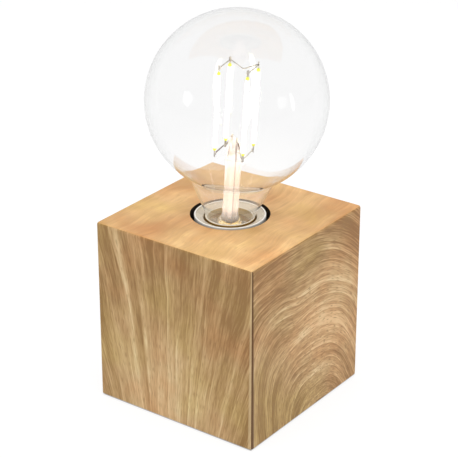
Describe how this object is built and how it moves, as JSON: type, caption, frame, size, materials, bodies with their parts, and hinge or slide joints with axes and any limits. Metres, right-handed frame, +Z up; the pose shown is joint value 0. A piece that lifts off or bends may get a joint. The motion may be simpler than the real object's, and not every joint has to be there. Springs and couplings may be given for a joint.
{
  "type": "bare bulb table lamp",
  "caption": "Table lamp: a mitred wooden cube with a lampholder sunk in its top, and a clear globe bulb with upright LED filaments that unscrews.",
  "frame": {"origin": "on the table, under the middle of the wooden cube", "axes": "+Z up through the cube and the bulb; -Y is the front board, +X the right board, +Y the back board with the cord bush"},
  "size_m": [0.1, 0.1, 0.2134],
  "materials": {
    "oak": "sawn and sanded, clear oiled oak",
    "plywood": "sanded birch plywood",
    "rubber": "moulded, matt",
    "black_plastic": "moulded nylon, satin",
    "zinc_steel": "bright zinc plate",
    "cream_plastic": "moulded thermoset, satin gloss",
    "steatite": "pressed and fired steatite",
    "shell_brass": "drawn and rolled brass",
    "spring_bronze": "stamped phosphor bronze",
    "nickel_screw": "nickel plated",
    "cap_brass": "drawn and rolled brass, lacquered",
    "basing_cement": "baked basing cement, matt",
    "black_glass": "poured black glass",
    "solder": "tin solder",
    "circuit_board": "phenolic paper board",
    "capacitor_sleeve": "shrink sleeve",
    "chip_resin": "moulded epoxy",
    "globe_glass": "blown clear soda-lime glass",
    "stem_glass": "drawn and pressed clear glass",
    "phosphor": "silicone with yellow phosphor, lit",
    "nickel_wire": "drawn nickel-iron"
  },
  "bodies": {
    "lamp_base": {"front_board": "oak", "right_board": "oak", "back_board": "oak", "left_board": "oak", "top_board": "oak", "corner_blocks": "plywood", "base_plate": "plywood", "base_screws": "zinc_steel", "feet": "rubber", "cord_bush": "black_plastic", "holder_bracket": "zinc_steel", "bracket_screws": "zinc_steel", "threaded_tube": "zinc_steel", "tube_washer": "zinc_steel", "tube_nut": "zinc_steel", "holder_cap": "cream_plastic", "holder_insert": "steatite", "holder_sleeve": "cream_plastic", "screw_shell": "shell_brass", "centre_contact": "spring_bronze", "shell_contact": "spring_bronze", "terminal_screws": "nickel_screw"},
    "bulb_tip": {"cap_tip": "solder"},
    "bulb": {"bulb_cap": "cap_brass", "cap_cement": "basing_cement", "cap_insulator": "black_glass", "driver_board": "circuit_board", "driver_capacitor": "capacitor_sleeve", "driver_chip": "chip_resin", "globe": "globe_glass", "stem": "stem_glass", "exhaust_tube": "stem_glass", "lead_wire_1": "nickel_wire", "lead_wire_2": "nickel_wire", "tie_wire": "nickel_wire", "filament_1": "phosphor", "filament_2": "phosphor", "filament_3": "phosphor", "filament_4": "phosphor", "filament_tabs": "nickel_wire"}
  },
  "joints": [
    {"name": "bulb_lift", "type": "slide", "parent": "lamp_base", "child": "bulb_tip", "axis": [0, 0, 1], "range_m": [0, 0.0109]},
    {"name": "bulb_turn", "type": "hinge", "parent": "bulb_tip", "child": "bulb", "pos_m": [0, 0, 0.1016], "axis": [0, 0, 1], "range_deg": [0, 1080]}
  ],
  "couplings": [
    {"joint": "bulb_lift", "follows": "bulb_turn", "m_per_rad": 0.00057757}
  ]
}
